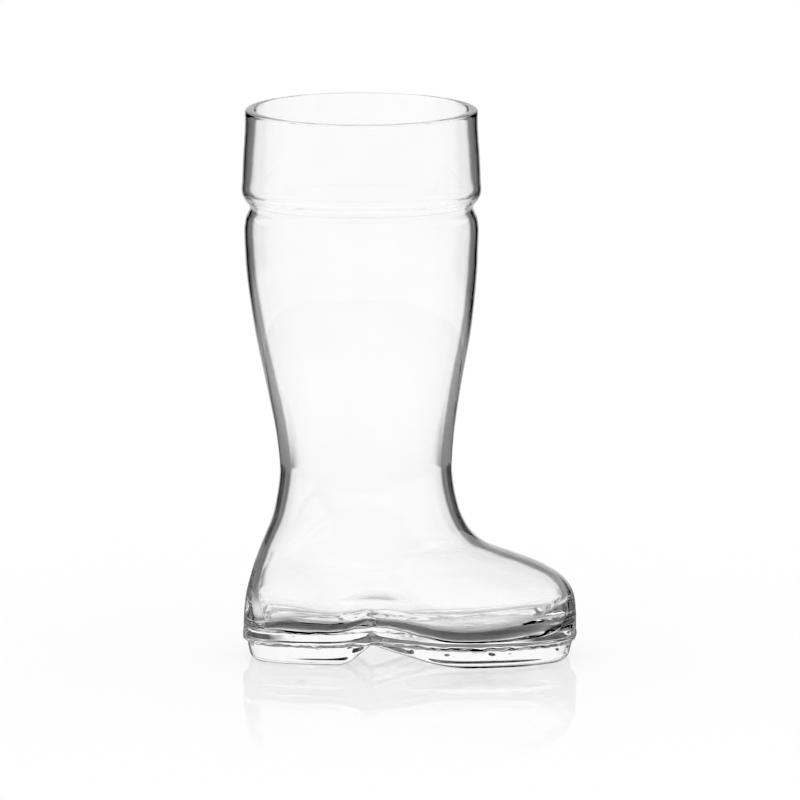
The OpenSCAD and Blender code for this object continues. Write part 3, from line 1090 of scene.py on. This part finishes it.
@dataclass
class Studio:
    """Floor, surroundings, camera and colour management."""

    surroundings: Surroundings
    floor_r: float = 400.0
    floor_hub: float = 4.0
    floor_rings: int = 40
    floor_sides: int = 96
    floor_gap: float = 0.1
    mirror: float = 0.15
    seen_mirror: float = 0.95
    glow: float = 0.72
    # Painted shade on the table under the glass: its grey, and the share of it for sight lines not mirrored
    # in the glass.
    painted_under_glass_shade: float = 0.2
    painted_shade_unmirrored: float = 0.4
    steep: tuple[float, float] = (0.03, 0.62)
    slant: tuple[float, float] = (0.35, 0.8)
    near: tuple[float, float] = (0.055, 0.085)
    far_share: float = 0.1
    fade: tuple[float, float] = (0.06, 0.21)
    grain_scale: float = 60.0
    grain: tuple[float, float] = (0.2, 0.8)
    mirror_blur: tuple[float, float] = (0.0096, 0.012)
    first_glint: float = 0.12
    wall_shade: float = 0.2
    back_shade: float = 0.5
    shade_turn: float = 0.1
    level_look: tuple[float, float] = (0.2, 0.25)
    trapped: float = 0.8
    elevation: float = 9.4
    pixels: int = 800
    clip_end: float = 20.0
    lens: float = 750.0
    sensor: float = 36.0
    scale: float = 2.84
    target: tuple[float, float, float] = (-0.0034, 0.0, 0.0913)
    bounces: int = 40
    glossy_bounces: int = 24
    diffuse_bounces: int = 12

    def floor(self) -> bpy.types.Object:
        """Round table top: level rings at even steps from the middle outward.

        Returns:
            The table top.
        """
        radii = np.linspace(self.floor_hub, self.floor_r, self.floor_rings)
        angles = np.arange(self.floor_sides) * 2 * np.pi / self.floor_sides
        z = np.full((self.floor_rings, self.floor_sides), -self.floor_gap)
        skin = Skin(np.stack([np.outer(radii, np.cos(angles)), np.outer(radii, np.sin(angles)), z], -1))
        faces = [skin.bands(0, self.floor_rings - 1)[:, ::-1], skin.fans()[0][:, ::-1]]
        made = mesh_object("floor", skin.points(), faces, [0, 0])
        made.data.materials.append(self.floor_material())
        return made

    def floor_material(self) -> bpy.types.Material:
        """White table top with a faint mirror image that fades away from the glass.

        Through the glass, sight lines that come in at a slant see it as a mirror of the
        panels, and steep ones see a painted grey shade that is darkest under the glass.

        Returns:
            The material.
        """
        made = bpy.data.materials.new("white_table")
        desk = Desk(made)
        place = desk.node("ShaderNodeTexCoord", out="Object")
        radius = desk.node("ShaderNodeVectorMath", {"operation": "LENGTH"}, {0: place}, out="Value")
        facing = desk.node("ShaderNodeLayerWeight", None, {"Blend": 0.5}, out="Facing")
        direct, bent = desk.ray(Rays.CAMERA), desk.bent()
        # Painted shade: steep sight lines through the glass see the table grey near it, less so for those
        # not mirrored in the glass.
        echoed = desk.count(Count.GLINTS).more_than(0) * (1 - self.painted_shade_unmirrored) + self.painted_shade_unmirrored
        grey = bent * (facing.rise(*self.steep, 1.0, 0.0) * echoed)
        shade = desk.node("ShaderNodeMix", {"data_type": "RGBA"}, {
            0: grey * radius.rise(*self.near, 1.0, self.far_share), 6: (1, 1, 1, 1),
            7: (*[self.painted_under_glass_shade] * 3, 1)}, out=2)
        paper = desk.node("ShaderNodeBsdfDiffuse", None, {"Color": shade})
        grain = desk.node("ShaderNodeTexNoise", None, {
            "Vector": place, "Scale": self.grain_scale, "Detail": 2.0})
        gloss = desk.node("ShaderNodeBsdfGlossy", None, {
            "Color": (1, 1, 1, 1), "Roughness": grain.rise(*self.grain, *self.mirror_blur)})
        glow = desk.node("ShaderNodeEmission", None, {"Color": (1, 1, 1, 1), "Strength": 1.0})
        lit = desk.node("ShaderNodeMixShader", None, {0: direct * self.glow, 1: paper, 2: glow})
        share = direct * radius.rise(*self.fade, self.mirror, 0.0)
        share = share + bent * facing.rise(*self.slant) * self.seen_mirror
        table = desk.node("ShaderNodeMixShader", None, {0: share, 1: lit, 2: gloss})
        desk.node("ShaderNodeOutputMaterial", None, {"Surface": table})
        return made

    def world(self) -> None:
        """White for the camera, for the table and for light that goes straight through.

        The number of walls and of glints, which are mirrorings in the glass or the table,
        tells how light came through. Without a glint it sees white. Turned once inside a
        wall it sees one even shade, which draws the wall as a grey bar. After more walls it
        sees white, so that faint echoes don't mark the leg. The outer face's own reflection
        is dim, light that rattles about in the glass darkens, and the rest sees the panels.
        """
        world = bpy.data.worlds.new("studio")
        bpy.context.scene.world = world
        world.cycles.sampling_method = "NONE"
        desk = Desk(world)
        way = desk.node("ShaderNodeTexCoord", out="Generated")
        x, y, z = [desk.node("ShaderNodeSeparateXYZ", None, {"Vector": way}, out=i) for i in range(3)]
        through, mirrored, bent = desk.ray(Rays.THROUGH), desk.ray(Rays.GLOSSY), desk.bent()
        glints, few = desk.count(Count.GLINTS), desk.count(Count.WALLS).at_most(2)
        echo = through * glints.more_than(0) + mirrored * glints.more_than(1)
        straight = through * glints.at_most(0)
        off_table = mirrored * glints.at_most(1) * z.size().rise(*self.level_look).either(y.under(0.0))
        calm = (echo * (1 - few)).either(straight).either(off_table)
        shade = y.rise(-self.shade_turn, self.shade_turn, self.back_shade, self.wall_shade)
        first = desk.count(Count.STEPS).at_most(1) * mirrored
        seen = self.surroundings.seen(desk, x, y, z).toward(1.0, calm).toward(shade, echo * few)
        seen = seen.toward(self.first_glint, first) * (1 - glints.more_than(5) * self.trapped)
        light = desk.node("ShaderNodeBackground", None, {
            "Color": (1, 1, 1, 1), "Strength": seen * bent + (1 - bent)})
        desk.node("ShaderNodeOutputWorld", None, {"Surface": light})

    def camera(self) -> None:
        """Long lens at the photograph's angle, aimed so that the glass fills the same place."""
        data = bpy.data.cameras.new("camera")
        data.lens, data.sensor_width = self.lens, self.sensor
        data.clip_end = self.clip_end
        camera = bpy.data.objects.new("camera", data)
        tilt = math.radians(self.elevation)
        away = Vector((0, -math.cos(tilt), math.sin(tilt)))
        reach = self.lens / self.sensor * self.pixels / self.scale * METRE
        camera.location = Vector(self.target) + away * reach
        camera.rotation_mode = "QUATERNION"
        camera.rotation_quaternion = (-away).to_track_quat("-Z", "Y")
        bpy.context.scene.collection.objects.link(camera)
        bpy.context.scene.camera = camera

    def build(self) -> None:
        """Sets up colour management and light bounces, then the floor, world and camera."""
        scene = bpy.context.scene
        scene.view_settings.view_transform = "Standard"
        scene.cycles.max_bounces = self.bounces
        scene.cycles.transmission_bounces = self.bounces
        scene.cycles.transparent_max_bounces = self.bounces
        scene.cycles.glossy_bounces = self.glossy_bounces
        scene.cycles.diffuse_bounces = self.diffuse_bounces
        self.camera()
        self.world()
        self.floor()


def dress(piece: bpy.types.Object, node: str, finishes: list[str]) -> None:
    """Gives a piece its finishes and its place in the frame, and reports it.

    Args:
        piece: The finished piece.
        node: The CAD node that it stands for.
        finishes: The name of the finish in each of its material slots.
    """
    for finish in finishes:
        piece.data.materials.append(bpy.data.materials[finish])
    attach(piece, BODY)
    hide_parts(node)
    LOG.info("%s: %d faces for node %s", piece.name, len(piece.data.polygons), node)


def main() -> None:
    """Builds the boot's pieces in order, then the studio."""
    logging.basicConfig(level=logging.INFO, format="%(name)s: %(message)s")
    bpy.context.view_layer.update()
    blown = Glass("clear_blown").material().name
    rippled = Glass("clear_pressed", ripple=0.09, ripple_scale=120.0, smudge_scale=60.0)
    pressed = rippled.material().name
    joint = Glass("fused_joint", alpha=0.0).material().name
    dress(Upper().build(), "boot_upper", [blown, joint])
    dress(Heel().build(), "heel", [pressed, joint])
    dress(Sole().build(), "sole", [pressed, joint])
    Studio(Surroundings()).build()


if __name__ == "__main__":
    main()
